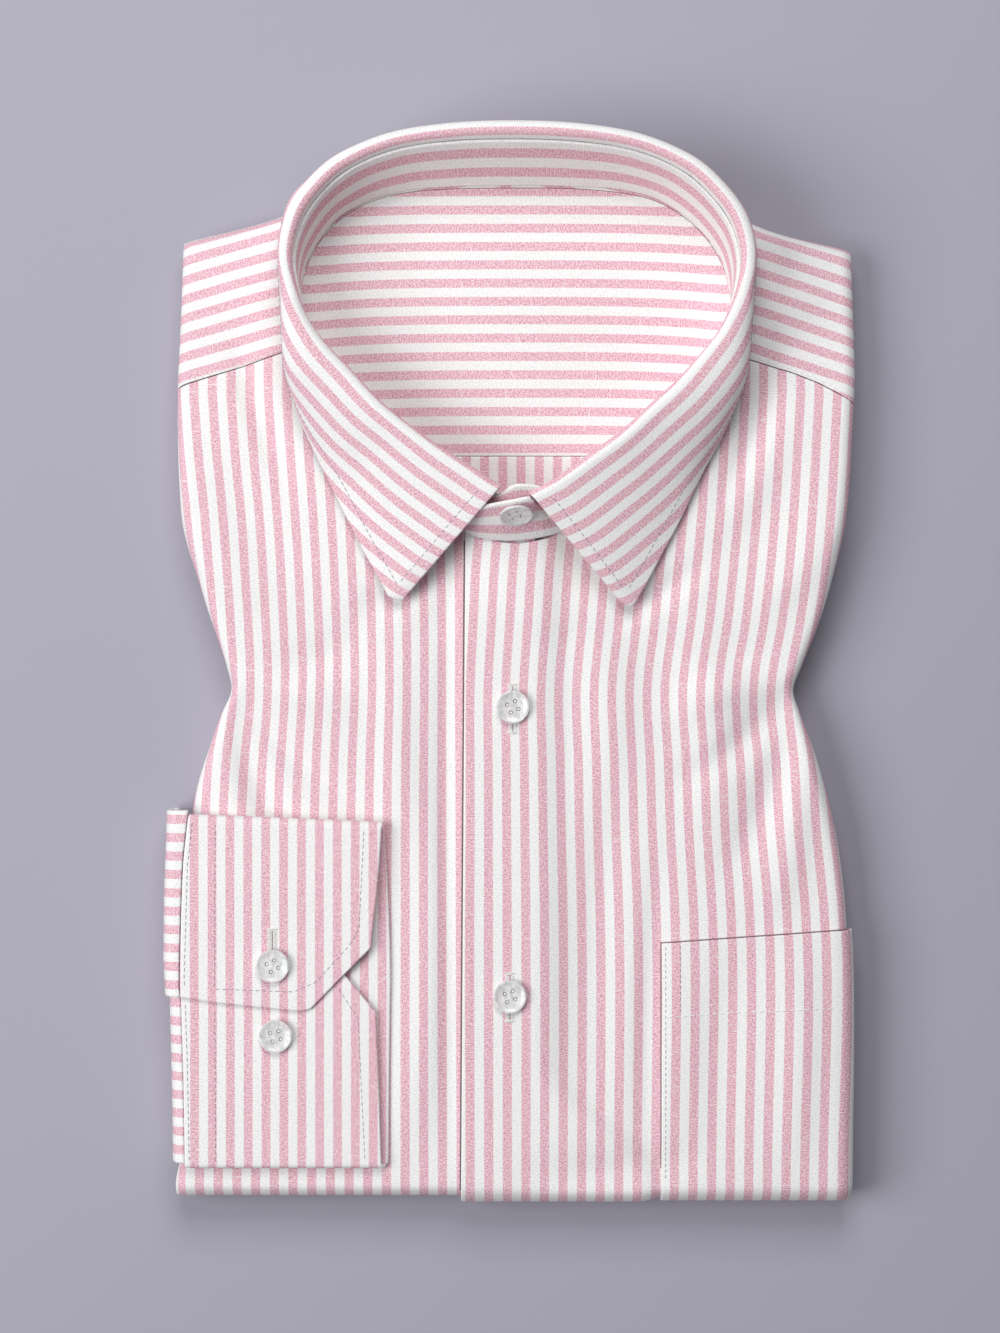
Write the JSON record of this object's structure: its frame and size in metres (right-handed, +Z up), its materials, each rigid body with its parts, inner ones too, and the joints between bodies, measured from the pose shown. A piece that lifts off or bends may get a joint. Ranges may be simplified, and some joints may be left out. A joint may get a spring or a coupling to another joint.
{
  "type": "folded dress shirt",
  "caption": "Long-sleeved striped dress shirt, buttoned and folded flat, collar standing open, one cuff brought to the front, chest pocket; lies on its back.",
  "frame": {"origin": "on the surface it lies on, below the middle of its bounding box", "axes": "+X across the shirt towards the pocket side, +Y towards the collar, +Z up"},
  "size_m": [0.2424, 0.3759, 0.0442],
  "materials": {
    "shirt_cloth": "woven cotton, pink chambray and white candy stripe, matt with a faint sheen",
    "button": "polished pearly resin"
  },
  "bodies": {
    "root": {"folded_layers": "shirt_cloth", "front_right": "shirt_cloth", "front_left": "shirt_cloth", "yoke": "shirt_cloth", "yoke_lining": "shirt_cloth", "back_panel": "shirt_cloth", "collar_stand": "shirt_cloth", "collar_fall": "shirt_cloth", "pocket": "shirt_cloth", "cuff": "shirt_cloth", "sleeve": "shirt_cloth", "button_collar": "button", "button_front_upper": "button", "button_front_lower": "button", "button_cuff_upper": "button", "button_cuff_lower": "button"}
  },
  "joints": []
}
